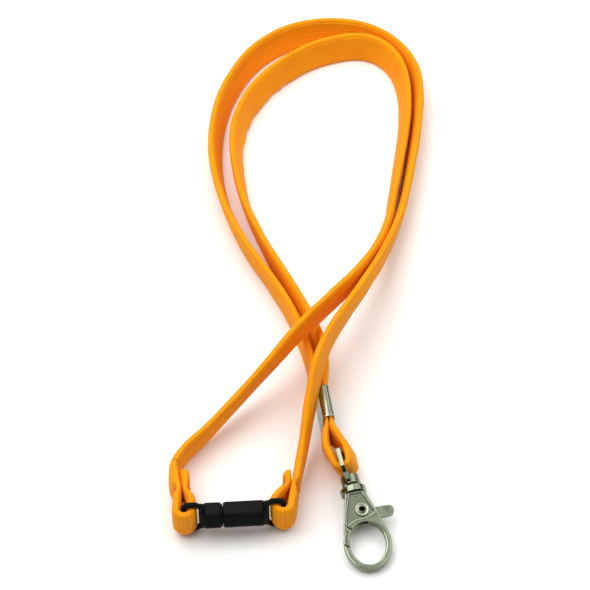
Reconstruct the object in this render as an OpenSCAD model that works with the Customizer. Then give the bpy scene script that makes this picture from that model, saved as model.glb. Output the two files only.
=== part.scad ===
// Neck lanyard: a folded woven strap with a breakaway connector and a swivel trigger hook.
// Millimetres, +Z up. It lies on a table at z = 0, with the strap standing on its edge.

/* [Strap] */
// Width of the woven strap, which stands upright
strap_w = 12; // [11.5:0.1:12.2]
// Thickness of the woven strap
strap_t = 2.2; // [1.8:0.1:2.3]

/* [Crimp clamp] */
// Length of the clamp along the strap
crimp_len = 13; // [10:0.5:14]
// Thickness of the sheet metal
crimp_sheet = 0.5; // [0.4:0.1:0.7]

/* [Breakaway connector] */
// Distance across the flats of the hexagonal barrels
barrel_flats = 8.4; // [8:0.1:9]
// Length of the short barrel, on the plug
plug_len = 5.8; // [5:0.1:7]
// Length of the long barrel, on the socket
socket_len = 13.6; // [12.5:0.1:15]
// Diameter of the bore in the socket
socket_bore = 6; // [5.6:0.1:6.2]
// Radial clearance of the prongs in that bore
prong_gap = 0.1; // [0.08:0.01:0.15]

/* [Trigger hook] */
// Diameter of the flange at the swivel end of the hook
flange_d = 8.8; // [8:0.1:9.4]
// Width of the bar of the snap ring
ring_bar = 2.1; // [1.8:0.1:2.4]
// Thickness of the snap ring
ring_thick = 2.4; // [2.2:0.1:3]
// Outer diameter of the tubular rivet
rivet_d = 2.8; // [2.4:0.1:3]
// Radial running clearance of the gate on its rivet and of the swivel stem
run_gap = 0.07; // [0.04:0.01:0.1]

/* [Hidden] */
$fn = 48;

orange = [0.96, 0.56, 0.08];
thread = [0.90, 0.48, 0.06];
nickel = [0.72, 0.74, 0.68];
black = [0.12, 0.12, 0.12];

// Slides the whole lay-out so that the middle of its box is over the origin
lay = [-0.8, 2];

// ---- Strap routes ----
// Each row is [x, y, rise, lean x, lean y]. Rise is how high the lower edge is above the
// table. Lean is how far the upper edge leans in X and Y for each unit of height.
// An optional sixth value is the thickness there, where the strap is squeezed.

// From the clamp round the inside of the ring of strap to the plug, over both other runs
run_plug_route = [
    [6.4, -59.5, 0.8, 0.04, 0, 1.3],
    [6.8, -55, 0.4, 0.1, 0],
    [6.6, -46, 0.2, 0.2, 0.04],
    [4.6, -35, 0, 0.18, 0.05],
    [-0.8, -21, 0, 0.12, 0.04],
    [-6.6, -8, 0, 0, 0],
    [-14.2, 8.5, 0, -0.12, -0.04],
    [-20.9, 26.5, 0, -0.2, -0.04],
    [-24.5, 44, 0, -0.27, 0],
    [-25.3, 60.5, 0, -0.3, 0.04],
    [-22.5, 75, 0, -0.28, 0.12],
    [-16, 88, 0, -0.21, 0.2],
    [-7, 98, 0, -0.12, 0.26],
    [3.5, 105.8, 0, -0.06, 0.3],
    [15, 110.3, 0, 0, 0.3],
    [24.2, 111, 0, 0.08, 0.28],
    [31.6, 107.2, 0, 0.18, 0.2],
    [37, 99, 0, 0.24, 0.1],
    [39.5, 87, 0, 0.26, 0.03],
    [39.5, 74, 0, 0.25, 0],
    [38.2, 61, 0, 0.23, -0.02],
    [36.2, 48, 0, 0.2, -0.04],
    [33.8, 33, 0.3, 0.14, -0.04],
    [31.2, 16.5, 2, 0.08, -0.03],
    [26.1, 0.5, 5.5, 0.06, -0.04],
    [18.4, -15.2, 10.5, 0.04, -0.03],
    [8.8, -28.6, 13.2, 0.02, -0.02],
    [-1.3, -40.2, 12.6, 0.04, -0.04],
    [-12, -52, 8.5, 0.12, -0.1],
    [-22.8, -63.4, 3.6, 0.16, -0.14],
    [-32.8, -74.6, 0.8, 0.1, -0.1],
    [-40, -82.8, 0.5, 0.08, -0.04],
    [-43.6, -90.2, 1, 0.06, 0],
];

// From the clamp round the outside of the ring of strap to the socket, over the clamp
run_socket_route = [
    [4.9, -59.7, 0.8, 0.04, 0, 1.3],
    [4, -54, 0.4, 0.04, 0],
    [2.4, -45.5, 0.2, 0.02, 0],
    [-0.6, -34, 0, 0.02, 0],
    [-5.4, -21, 0, -0.02, 0],
    [-12.4, -7.5, 0, -0.1, 0],
    [-21.4, 8.5, 0, -0.16, -0.03],
    [-28.6, 26.5, 0, -0.22, -0.03],
    [-32.6, 44, 0, -0.28, 0],
    [-33.5, 60.5, 0, -0.3, 0.04],
    [-31.5, 76.7, 0, -0.28, 0.1],
    [-26.8, 91.2, 0, -0.22, 0.18],
    [-19.7, 103.8, 0, -0.16, 0.25],
    [-9.7, 113.3, 0, -0.1, 0.29],
    [1.2, 118.2, 0, -0.04, 0.31],
    [13, 119.6, 0, 0.02, 0.3],
    [24, 117.5, 0, 0.09, 0.26],
    [33.3, 111.8, 0, 0.16, 0.2],
    [40.1, 103.4, 0, 0.22, 0.12],
    [43.8, 93.5, 0, 0.25, 0.05],
    [44.5, 82, 0, 0.26, 0],
    [43.6, 69, 0, 0.25, 0],
    [41.6, 53, 0, 0.22, -0.02],
    [38.5, 35, 0.2, 0.18, -0.03],
    [34.6, 17, 1.6, 0.14, -0.02],
    [29.2, 1, 4.6, 0.13, 0],
    [22.8, -15, 9, 0.12, 0],
    [15.8, -30, 12.4, 0.08, 0],
    [9.2, -43.5, 14, 0, 0],
    [4.8, -56.5, 13.8, -0.1, 0.03],
    [2.1, -69, 8.5, -0.1, 0],
    [0.2, -80, 3.6, -0.04, 0],
    [-1.5, -89, 1.9, 0.02, 0],
];

// First rows of the loops that are sewn round the posts of the connector
plug_loop_in = [[-42.9, -96.2, 1.6, 0.12, 0], [-41.6, -101, 2, 0.02, 0]];
socket_loop_in = [[-2.6, -95, 2, 0.02, 0], [-3.4, -100, 2, 0, 0]];
// Play between the end faces where the strap parts with the plug
cut_play = 0.3;

// ---- Breakaway connector ----
// Middle of the gap between the barrels, and how far the barrels turn from +X
connector_pos = [-27, -108.4, 8];
connector_turn = 3.5;
barrel_gap = 0.6;
barrel_chamfer = 0.9;
base_bar = 1.7;
post_d = 1.8;
loop_ring_len = 7.3;
loop_ring_half = 8;
loop_ring_inner = 6.35;
loop_ring_width = 2.6;
prong_len = 8.5;
prong_core = 4.6;
plug_post_x = -(barrel_gap / 2 + plug_len + loop_ring_len - post_d / 2);
socket_post_x = barrel_gap / 2 + socket_len + loop_ring_len - post_d / 2;
// How far the middle of the strap stands off the middle of the post that it wraps
wrap_r = post_d / 2 + strap_t / 2 + 0.2;
ring_rise = connector_pos[2] - strap_w / 2;

// ---- Crimp clamp ----
crimp_pos = [7.3, -66, 6.8];
crimp_turn = 9;
crimp_lean = 2;
crimp_inner_w = 3.1;
crimp_inner_h = 12.2;
squeezed_t = 1.3;
squeezed_off = 0.78;

// ---- Swivel and hook ----
// Middle of the flange's face, the way the hook's nose points and how far it dips
hook_pos = [16.2, -97.6, 6.9];
hook_turn = 14;
hook_dip = 10;
eye_roll = -18;
eye_post_y = 11.8;
eye_inner_half = 6.6;
eye_arm = 1.4;
eye_width = 1.4;
boss_d = 6.4;
boss_from = 0.5;
boss_to = 4.4;
stem_d = 2.6;
stem_head_d = 4;
flange_len = 2;
neck_half = 3;
body_half = 7;
body_end = -15;
ring_mid = [0, -20.05];
ring_half = [8.05, 9.5];
ring_skew = -8;
rivet_at = [0.9, -8.5];
rivet_head_d = 4.4;
cheek_z = 1.95;
slot_half = 0.95;
lever_half = 0.85;
gate_from_r = 8.1;
gate_to_r = 13.6;
gate_cut = 0.15;
spring_wire = 0.4;
spring_r = 2.3;
hub_r = 3;
recess_r = 2.85;
recess_from = -0.25;

// ---- Sweep of a strap along its rows ----
function unit(v) = v / norm(v);
function thick(r) = len(r) > 5 ? r[5] : strap_t;
function axis_up(r) = unit([r[3], r[4], 1]);
function middle(r) =
    [r[0] + lay[0], r[1] + lay[1], r[2] + (strap_w - thick(r)) / 2 * axis_up(r)[2] + thick(r) / 2];

// Catmull-Rom blend of four rows
function spline(a, b, c, d, u) =
    0.5 * (2 * b + (c - a) * u + (2 * a - 5 * b + 4 * c - d) * u * u
    + (3 * b - a - 3 * c + d) * u * u * u);
function full(r) = [r[0], r[1], r[2], r[3], r[4], thick(r)];
function row(rows, i) = full(rows[max(0, min(len(rows) - 1, i))]);
function smooth_rows(rows, steps) = concat(
    [for (i = [0:len(rows) - 2]) for (k = [0:steps - 1])
        spline(row(rows, i - 1), row(rows, i), row(rows, i + 1), row(rows, i + 2), k / steps)],
    [row(rows, len(rows) - 1)]);

// Outline of the flat, round-edged section: [across, up]
function section(t) = let (h = strap_w / 2, e = t / 2)
    [[e, h - e], [0.6 * e, h - 0.2 * e], [-0.6 * e, h - 0.2 * e], [-e, h - e],
    [-e, e - h], [-0.6 * e, 0.2 * e - h], [0.6 * e, 0.2 * e - h], [e, e - h]];

// The rows before and after only set the way that the two end faces point
module strap(rows, before, after) {
    n = len(rows);
    mids = [for (r = rows) middle(r)];
    ahead = concat([for (i = [1:n - 1]) mids[i]], [is_undef(after) ? mids[n - 1] : middle(after)]);
    behind = concat([is_undef(before) ? mids[0] : middle(before)], [for (i = [0:n - 2]) mids[i]]);
    rings = [for (i = [0:n - 1])
        let (along = unit(ahead[i] - behind[i]),
            lean = axis_up(rows[i]),
            up = unit(lean - (lean * along) * along),
            across = cross(along, up))
        for (p = section(thick(rows[i]))) mids[i] + p[0] * across + p[1] * up];
    sides = 8;
    skin = [for (i = [0:n - 2]) for (k = [0:sides - 1])
        let (a = i * sides + k, b = i * sides + (k + 1) % sides)
        each [[a, b + sides, a + sides], [a, b, b + sides]]];
    first = [for (k = [sides - 1:-1:0]) k];
    last = [for (k = [0:sides - 1]) (n - 1) * sides + k];
    polyhedron(points = rings, faces = concat(skin, [first, last]));
}

// ---- Places ----
function turned(p, a) = [p[0] * cos(a) - p[1] * sin(a), p[0] * sin(a) + p[1] * cos(a)];
function on_connector(x, y) =
    [connector_pos[0], connector_pos[1]] + turned([x, y], connector_turn);
function in_crimp(along, side) =
    [crimp_pos[0], crimp_pos[1]] + turned([side, along], crimp_turn);
function by_hook(x, y) = [hook_pos[0], hook_pos[1]] + turned([x, y], hook_turn);

module at_connector() {
    translate(connector_pos + [lay[0], lay[1], 0]) rotate([0, 0, connector_turn]) children();
}

module at_crimp() {
    translate(crimp_pos + [lay[0], lay[1], 0]) rotate([0, 0, crimp_turn])
        rotate([0, crimp_lean, 0]) children();
}

// Here +Y runs from the hook's nose to its swivel and +X is to the right
module at_hook() {
    translate(hook_pos + [lay[0], lay[1], 0]) rotate([hook_dip, 0, hook_turn]) children();
}

// ---- Strap ----
module strap_run_plug() {
    color(orange) strap(run_plug_route, after = plug_loop_in[0]);
}

module strap_run_socket() {
    color(orange) strap(run_socket_route, after = socket_loop_in[0]);
}

// Both squeezed layers in the clamp, and the slack loop round the post of the eye
module strap_hook_loop() {
    clamped = crimp_len / 2;
    lean = tan(crimp_lean);
    clamp_rise = crimp_pos[2] - strap_w / 2;
    arm_r = 2.35;
    turn_x = -0.3;
    turn_y = 9.3;
    left_top = in_crimp(clamped, -squeezed_off);
    left_end = in_crimp(-clamped, -squeezed_off);
    right_end = in_crimp(-clamped, squeezed_off);
    right_top = in_crimp(clamped, squeezed_off);
    bend = [for (a = [180:30:360]) let (p = by_hook(turn_x + arm_r * cos(a), turn_y + arm_r * sin(a)))
        [p[0], p[1], 2.8 + 0.7 * cos(a) + 0.3 * sin(a), -0.28, -0.25]];
    rows = concat(
        [[left_top[0], left_top[1], clamp_rise, lean, 0, squeezed_t],
        [left_end[0], left_end[1], clamp_rise, lean, 0, squeezed_t],
        [7.4, -77, 0.7, 0, 0],
        [8.2, -82, 1.2, -0.16, -0.1],
        [10, -86, 1.8, -0.27, -0.22]],
        bend,
        [[14.9, -83.2, 3, -0.27, -0.22],
        [12.1, -79, 1.8, -0.08, -0.08],
        [9.6, -75, 0.9, 0.04, 0],
        [right_end[0], right_end[1], clamp_rise, lean, 0, squeezed_t],
        [right_top[0], right_top[1], clamp_rise, lean, 0, squeezed_t]]);
    color(orange) strap(smooth_rows(rows, 2));
}

// A loop that carries on from a run, goes round a post and ends in a sewn tail
module sewn_loop(run, play, inward, post_x, way, tail) {
    last = run[len(run) - 1];
    step = unit([inward[0][0] - last[0], inward[0][1] - last[1]]) * play;
    start = [last[0] + step[0], last[1] + step[1], last[2], last[3], last[4]];
    turn = [for (a = [0:30:180])
        let (p = on_connector(post_x - way * wrap_r * cos(a), -wrap_r * sin(a)))
        [p[0], p[1], ring_rise, 0, 0]];
    rows = smooth_rows(concat([start], inward, turn, tail), 2);
    color(orange) strap(rows, before = run[len(run) - 2]);
}

module strap_plug_loop() {
    sewn_loop(run_plug_route, cut_play, plug_loop_in, plug_post_x, 1,
        [[-37.6, -105.5, ring_rise, 0, 0],
        [-39.2, -101, ring_rise, 0.02, 0], [-40.3, -96.5, ring_rise, 0.1, 0],
        [-40.8, -93, ring_rise, 0.12, 0]]);
}

module strap_socket_loop() {
    sewn_loop(run_socket_route, 0, socket_loop_in, socket_post_x, -1,
        [[-9.2, -104.6, ring_rise, 0, 0],
        [-5.9, -100, ring_rise, 0, 0], [-5.2, -97, ring_rise, 0, 0],
        [-5.5, -93, ring_rise, -0.03, 0]]);
}

// Rows of lock stitches, standing proud on both faces of the sewn pair of layers
module bartack(place, turn) {
    stitches = 6;
    pitch = 1.35;
    outer_face = 1.2 + strap_t / 2;
    color(thread) translate([place[0] + lay[0], place[1] + lay[1], connector_pos[2]])
        rotate([0, 0, turn])
        for (side = [-1, 1]) for (k = [0:stitches - 1])
            translate([side * outer_face, 0, (k - (stitches - 1) / 2) * pitch])
                cube([0.35, 1.9, 0.7], center = true);
}

module bartack_plug() {
    bartack([-40.4, -101], 0);
}

module bartack_socket() {
    bartack([-4.5, -99.4], 0);
}

// ---- Crimp clamp ----
// A folded sheet, closed along the upper edge, whose lips meet underneath
module crimp_clamp() {
    outer = [crimp_inner_w + 2 * crimp_sheet, crimp_inner_h + 2 * crimp_sheet];
    lip_gap = 0.6;
    color(nickel) at_crimp() rotate([90, 0, 0])
        linear_extrude(height = crimp_len, center = true) difference() {
            rounded(outer, 1.2);
            rounded([crimp_inner_w, crimp_inner_h], 0.7);
            translate([0, -outer[1] / 2]) square([lip_gap, 3], center = true);
        }
}

module rounded(size, r) {
    square([size[0] - 2 * r, size[1]], center = true);
    square([size[0], size[1] - 2 * r], center = true);
    for (x = [-1, 1]) for (y = [-1, 1])
        translate([x * (size[0] / 2 - r), y * (size[1] / 2 - r)]) circle(r);
}

// ---- Breakaway connector ----
// Hexagonal barrel from x = 0 to x = length, with a flat on top and chamfered ends
module barrel(length) {
    r = barrel_flats / 2 / cos(30);
    c = barrel_chamfer;
    rotate([0, 90, 0]) rotate([0, 0, 30]) intersection() {
        cylinder(r = r, h = length, $fn = 6);
        rotate_extrude()
            polygon([[0, 0], [r - c, 0], [r, c], [r, length - c], [r - c, length], [0, length]]);
    }
}

// Base bar, two arms and a post, in the XZ plane, from x = 0 outwards
module loop_ring() {
    post_mid = loop_ring_len - post_d / 2;
    corner = 3;
    rotate([90, 0, 0]) linear_extrude(height = loop_ring_width, center = true) difference() {
        union() {
            translate([0, -loop_ring_half])
                square([loop_ring_len - corner, 2 * loop_ring_half]);
            translate([0, corner - loop_ring_half])
                square([loop_ring_len - post_d, 2 * (loop_ring_half - corner)]);
            for (s = [-1, 1]) translate([loop_ring_len - corner, s * (loop_ring_half - corner)])
                circle(corner);
        }
        translate([base_bar, -loop_ring_inner])
            square([loop_ring_len, 2 * loop_ring_inner]);
    }
    translate([post_mid, 0, 0])
        cylinder(d = post_d, h = 2 * loop_ring_inner + 1.2, center = true);
}

// Round stub with four bumps near its end, split crosswise so that it can give
module prongs() {
    tip_d = socket_bore - 2 * prong_gap;
    split = 0.9;
    difference() {
        rotate([0, 90, 0]) union() {
            cylinder(d = prong_core, h = prong_len);
            translate([0, 0, prong_len - 2.2]) cylinder(d = tip_d, h = 1.1);
            cylinder(d = tip_d, h = 1.2);
        }
        translate([1.8, -5, -split / 2]) cube([prong_len, 10, split]);
        translate([1.8, -split / 2, -5]) cube([prong_len, split, 10]);
    }
}

module connector_plug() {
    color(black) at_connector() translate([-barrel_gap / 2, 0, 0]) {
        mirror([1, 0, 0]) barrel(plug_len);
        translate([-plug_len, 0, 0]) mirror([1, 0, 0]) loop_ring();
        translate([-0.2, 0, 0]) prongs();
    }
}

module connector_socket() {
    bore_len = 10.5;
    groove_from = prong_len - 3.2;
    color(black) at_connector() translate([barrel_gap / 2, 0, 0]) {
        difference() {
            barrel(socket_len);
            translate([-1, 0, 0]) rotate([0, 90, 0]) cylinder(d = socket_bore, h = bore_len + 1);
            translate([groove_from, 0, 0]) rotate([0, 90, 0])
                cylinder(d = socket_bore + 0.7, h = 1.9);
        }
        translate([socket_len, 0, 0]) loop_ring();
    }
}

// ---- Swivel eye ----
module swivel_eye() {
    arm_top = eye_inner_half + eye_arm;
    opening_from = boss_to + 0.5;
    color(nickel) at_hook() rotate([0, eye_roll, 0]) {
        translate([0, eye_post_y, 0]) cylinder(d = post_d, h = 2 * eye_inner_half + 1, center = true);
        rotate([90, 0, 90]) linear_extrude(height = eye_width, center = true) difference() {
            union() {
                polygon([[boss_from + 1, -2.9], [opening_from - 0.9, 0.1 - eye_inner_half],
                    [opening_from + 1.1, -arm_top], [eye_post_y, -arm_top],
                    [eye_post_y, arm_top], [opening_from + 1.1, arm_top],
                    [opening_from - 0.9, eye_inner_half - 0.1], [boss_from + 1, 2.9]]);
                for (s = [-1, 1]) translate([eye_post_y, s * eye_inner_half]) intersection() {
                    circle(eye_arm);
                    translate([-eye_arm, -eye_arm]) square([eye_arm + post_d / 2, 2 * eye_arm]);
                }
            }
            translate([opening_from, -eye_inner_half])
                square([eye_post_y + 5 - opening_from, 2 * eye_inner_half]);
        }
        rotate([-90, 0, 0]) {
            translate([0, 0, boss_from]) cylinder(d = boss_d, h = boss_to - boss_from);
            translate([0, 0, -3]) cylinder(d = stem_d, h = 4);
            translate([0, 0, -3.5]) cylinder(d = stem_head_d, h = 1.1);
        }
    }
}

// ---- Trigger hook ----
module ellipse(half) {
    scale([half[0] / 10, half[1] / 10]) circle(10, $fn = 96);
}

// Outline of the tapered body and the snap ring
module hook_outline() {
    difference() {
        union() {
            translate(ring_mid) rotate(ring_skew) ellipse(ring_half);
            polygon([[-neck_half, -1], [neck_half, -1], [body_half, body_end],
                [-body_half, body_end]]);
        }
        translate(ring_mid) rotate(ring_skew)
            ellipse([ring_half[0] - ring_bar, ring_half[1] - ring_bar]);
    }
}

// Side view that thins the body from its neck to its nose
module hook_side() {
    e = ring_thick / 2;
    rotate([90, 0, 90]) linear_extrude(height = 30, center = true)
        polygon([[0, -2.7], [0, 2.7], [-3.5, 2.7], [-12.5, 1.9], [-18, e], [-31, e],
            [-31, -e], [-18, -e], [-12.5, -1.9], [-3.5, -2.7]]);
}

// Left side of the snap ring, between two arcs about the rivet, with cut as extra play
module gate_zone(cut) {
    intersection() {
        translate([rivet_at[0], rivet_at[1]]) difference() {
            circle(gate_to_r + cut, $fn = 96);
            circle(gate_from_r - cut, $fn = 96);
        }
        polygon([[-12, -10.5], [-3.4, -10.5], [-3.4, -24], [-12, -24]]);
    }
}

module hook_body() {
    bore = stem_d + 2 * run_gap;
    color(nickel) at_hook() difference() {
        union() {
            intersection() {
                linear_extrude(height = 8, center = true) difference() {
                    hook_outline();
                    gate_zone(gate_cut);
                }
                hook_side();
            }
            rotate([90, 0, 0]) cylinder(d = flange_d, h = flange_len);
        }
        // Slot for the lever, open on the right for the thumb tab
        linear_extrude(height = 2 * slot_half, center = true)
            polygon([[-2.4, -5], [-5.3, -12.1], [-8.5, -12.6], [-8.5, -15.5], [-2.5, -15.5],
                [1.2, -13.8], [2.4, -12.35], [9, -12.35], [9, -5]]);
        // Bore for the swivel stem and the room for its head
        rotate([90, 0, 0]) translate([0, 0, -1]) cylinder(d = bore, h = 5);
        rotate([90, 0, 0]) translate([0, 0, 2.2]) cylinder(d = stem_head_d + 0.3, h = 2);
        translate([rivet_at[0], rivet_at[1], -5]) cylinder(d = rivet_d, h = 10);
        // Flat seats under the rivet's two flares
        for (s = [-1, 1]) translate([rivet_at[0], rivet_at[1], s * (cheek_z + 2)])
            cylinder(d = rivet_head_d + 0.6, h = 4, center = true);
    }
}

module gate_lever() {
    tab_r = 1.9;
    tab_mid = [9.8, -10.2];
    color(nickel) at_hook() difference() {
        union() {
            // Full-thickness bar that closes the ring
            intersection() {
                linear_extrude(height = 8, center = true) intersection() {
                    hook_outline();
                    gate_zone(0);
                }
                hook_side();
            }
            // Thin lever between the cheeks, with the thumb tab
            linear_extrude(height = 2 * lever_half, center = true) {
                translate([rivet_at[0], rivet_at[1]]) circle(hub_r);
                polygon([[-1.2, -6.5], [-5.4, -12.5], [-5.6, -14.2], [-4.6, -14.6], [2, -10.6]]);
                polygon([[2.2, -5.9], [5, -8.1], [tab_mid[0], tab_mid[1] + tab_r],
                    [tab_mid[0], tab_mid[1] - tab_r], [4.5, -12], [1, -11]]);
                translate(tab_mid) circle(tab_r);
            }
        }
        translate([rivet_at[0], rivet_at[1], -5]) cylinder(d = rivet_d + 2 * run_gap, h = 10);
        // Recess for the spring round the hub
        translate([rivet_at[0], rivet_at[1], recess_from]) difference() {
            cylinder(r = recess_r, h = 5);
            translate([0, 0, -1]) cylinder(r = spring_r - spring_wire / 2 - 0.15, h = 8);
        }
    }
}

// Tubular rivet, flared on both faces
module gate_rivet() {
    head_h = 0.35;
    hole_d = rivet_d - 1;
    color(nickel) at_hook() translate([rivet_at[0], rivet_at[1], 0]) difference() {
        union() {
            cylinder(d = rivet_d, h = 2 * (cheek_z + head_h), center = true);
            for (s = [-1, 1]) translate([0, 0, s * (cheek_z + head_h / 2)])
                cylinder(d = rivet_head_d, h = head_h, center = true);
        }
        cylinder(d = hole_d, h = 10, center = true);
    }
}

// Two turns of wire round the hub and two short legs
module gate_spring() {
    color(nickel) at_hook() translate([rivet_at[0], rivet_at[1], 0]) {
        for (z = [0.05, 0.5]) translate([0, 0, z]) rotate_extrude()
            translate([spring_r, 0]) circle(d = spring_wire, $fn = 16);
        for (leg = [[-spring_r, 0.5], [spring_r, 0.05]])
            translate([leg[0], 0.3, leg[1]]) rotate([-90, 0, 0])
                cylinder(d = 0.75 * spring_wire, h = 1.1, $fn = 16);
    }
}

strap_run_plug();
strap_run_socket();
strap_hook_loop();
strap_plug_loop();
strap_socket_loop();
bartack_plug();
bartack_socket();
crimp_clamp();
connector_plug();
connector_socket();
swivel_eye();
hook_body();
gate_lever();
gate_rivet();
gate_spring();
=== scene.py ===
"""Neck lanyard: the finished look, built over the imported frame."""
import math

import bmesh
import bpy
from mathutils import Matrix, Vector, noise


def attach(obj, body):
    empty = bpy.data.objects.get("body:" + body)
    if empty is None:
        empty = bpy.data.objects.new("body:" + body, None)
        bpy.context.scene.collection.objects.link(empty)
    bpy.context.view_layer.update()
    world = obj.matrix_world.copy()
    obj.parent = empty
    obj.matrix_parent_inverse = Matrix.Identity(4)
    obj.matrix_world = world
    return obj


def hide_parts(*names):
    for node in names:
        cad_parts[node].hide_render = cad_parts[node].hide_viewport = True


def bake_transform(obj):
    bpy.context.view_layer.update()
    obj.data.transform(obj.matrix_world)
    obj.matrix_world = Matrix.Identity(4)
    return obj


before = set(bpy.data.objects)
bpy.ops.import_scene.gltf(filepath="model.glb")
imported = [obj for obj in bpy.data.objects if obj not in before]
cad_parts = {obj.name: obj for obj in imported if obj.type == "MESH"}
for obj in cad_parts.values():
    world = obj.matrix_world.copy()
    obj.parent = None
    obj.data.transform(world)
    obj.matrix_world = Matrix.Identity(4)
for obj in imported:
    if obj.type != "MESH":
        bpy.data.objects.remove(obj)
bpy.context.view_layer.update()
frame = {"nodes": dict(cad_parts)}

MM = 0.001

# ---------------------------------------------------------------- sizes and places
# In millimetres and degrees, as in the part
# The whole lay-out is slid by this much
LAY = Vector((-0.8, 2.0, 0.0))
STRAP_WIDTH = 12
STRAP_THICK = 2.2
SQUEEZED_THICK = 1.3
# Middle of the connector's seam, and its turn
CONNECTOR = Vector((-27, -108.4, 8))
CONNECTOR_TURN = 3.5
# Middle of the clamp, its turn, and how far it leans over
CRIMP = Vector((7.3, -66, 6.8))
CRIMP_TURN = 9.0
CRIMP_LEAN = 2.0
# Middle of the hook's flange face, the hook's turn, and how far its ring dips
HOOK = Vector((16.2, -97.6, 6.9))
HOOK_TURN = 14.0
HOOK_DIP = 10.0
# The loop rings' posts, along the connector, and the strap's bend round each
PLUG_POST = -12.5
SOCKET_POST = 20.3
POST_BEND = 2.2
# Half the clamp's length, and how far each layer in it lies from its middle
CRIMP_HALF = 6.5
CRIMP_LAYER = 0.78
# The slack loop's bend round the eye's post, in the hook's frame
EYE_BEND_X = -0.3
EYE_BEND_Y = 9.3
EYE_BEND = 2.35
# The connector's barrels, and half the seam between them
BARREL_FLATS = 8.4
PLUG_LENGTH = 5.8
SOCKET_LENGTH = 13.6
HALF_SEAM = 0.3
# The rivet, the start of the round wire and the pocket in each face, in the hook's frame
RIVET_PLACE = Vector((0.9, -8.5, 0))
WIRE_TOP = -13.0
POCKET_TOP = -2.7
POCKET_FLOOR = 2.38
POCKET_TAPER = 0.11


# ---------------------------------------------------------------- camera and light
# Millimetres for the camera, metres and watts for the lamps, which all face the origin
CAMERA_PLACE = Vector((-3.8, -455.75, 573.1))
CAMERA_TARGET = Vector((-3.8, -8.0, 0.0))
CAMERA_LENS = 122.03
LAMPS = [
    ("key", (-0.35, 0.12, 0.80), (1.1, 0.8), 7.4),
    ("fill", (0.55, 0.05, 0.70), (0.8, 0.9), 3.1),
    ("back", (0.0, 0.75, 0.60), (1.3, 0.4), 2.8),
]
# Colours of the studio from straight below to straight above
SKY_LOW = (0.05, 0.055, 0.045)
SKY_BANDS = [(0.52, (0.07, 0.075, 0.065)), (0.72, (0.40, 0.42, 0.38))]
SKY_HIGH = (1.0, 1.0, 0.98)
FLOOR_REACH = 3.0


def add_object(name, data):
    thing = bpy.data.objects.new(name, data)
    bpy.context.scene.collection.objects.link(thing)
    return thing


def aim(thing, target):
    """Turns a camera or lamp to face a place."""
    thing.rotation_euler = (target - thing.location).to_track_quat("-Z", "Y").to_euler()


def make_camera():
    data = bpy.data.cameras.new("camera")
    data.lens = CAMERA_LENS
    data.sensor_width = 36.0
    data.clip_start = 0.01
    camera = add_object("camera", data)
    camera.location = CAMERA_PLACE * MM
    aim(camera, CAMERA_TARGET * MM)
    bpy.context.scene.camera = camera


def make_lamp(name, place, size, watts):
    data = bpy.data.lights.new(name, "AREA")
    data.shape = "RECTANGLE"
    data.size, data.size_y = size
    data.energy = watts
    lamp = add_object(name, data)
    lamp.location = place
    aim(lamp, Vector((0, 0, 0)))


def make_sky():
    """Bright above and dark towards the floor, so that metal has something to mirror."""
    world = bpy.data.worlds.new("studio")
    bpy.context.scene.world = world
    world.use_nodes = True
    nt = world.node_tree
    background = nt.nodes["Background"]
    coord = nt.nodes.new("ShaderNodeTexCoord")
    split = nt.nodes.new("ShaderNodeSeparateXYZ")
    ramp = nt.nodes.new("ShaderNodeValToRGB")
    nt.links.new(coord.outputs["Generated"], split.inputs[0])
    nt.links.new(split.outputs["Z"], ramp.inputs[0])
    nt.links.new(ramp.outputs[0], background.inputs["Color"])
    bands = ramp.color_ramp.elements
    bands[0].color = (*SKY_LOW, 1)
    bands[1].color = (*SKY_HIGH, 1)
    for height, colour in SKY_BANDS:
        bands.new(height).color = (*colour, 1)
    background.inputs["Strength"].default_value = 0.8


def make_light():
    bpy.context.scene.view_settings.view_transform = "Standard"
    make_sky()
    for lamp in LAMPS:
        make_lamp(*lamp)


def make_floor():
    mesh = bpy.data.meshes.new("floor")
    r = FLOOR_REACH
    mesh.from_pydata([(-r, -r, 0), (r, -r, 0), (r, r, 0), (-r, r, 0)], [], [(0, 1, 2, 3)])
    floor = add_object("floor", mesh)
    mat, nt, bsdf = new_material("floor")
    speckle = noise_node(nt, 60.0, 3.0)
    tint = mix_colours(nt, speckle.outputs["Fac"], (0.93, 0.93, 0.93), (0.96, 0.96, 0.96))
    nt.links.new(tint, bsdf.inputs["Base Color"])
    bsdf.inputs["Roughness"].default_value = 0.9
    bsdf.inputs["Specular IOR Level"].default_value = 0.1
    mesh.materials.append(mat)


# ---------------------------------------------------------------- materials
# A wave texture at scale 1 has bands this far apart, so scale is this over the pitch wanted
WAVE_BAND = 0.314
# Pitch of the weave along and round the strap, in centimetres like its coordinates
PICK_PITCH = 0.09
WALE_PITCH = 0.13
METAL_GRAIN = 2500.0


def new_material(name):
    mat = bpy.data.materials.new(name)
    mat.use_nodes = True
    nt = mat.node_tree
    return mat, nt, nt.nodes["Principled BSDF"]


def noise_node(nt, scale, detail, vector=None):
    node = nt.nodes.new("ShaderNodeTexNoise")
    node.inputs["Scale"].default_value = scale
    node.inputs["Detail"].default_value = detail
    if vector is None:
        vector = nt.nodes.new("ShaderNodeTexCoord").outputs["Object"]
    nt.links.new(vector, node.inputs["Vector"])
    return node


def mix_colours(nt, factor, low, high):
    node = nt.nodes.new("ShaderNodeMix")
    node.data_type = "RGBA"
    nt.links.new(factor, node.inputs["Factor"])
    for socket, colour in (("A", low), ("B", high)):
        target = [s for s in node.inputs if s.name == socket and s.type == "RGBA"][0]
        if isinstance(colour, tuple):
            target.default_value = (*colour, 1)
        else:
            nt.links.new(colour, target)
    return [s for s in node.outputs if s.type == "RGBA"][0]


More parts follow.
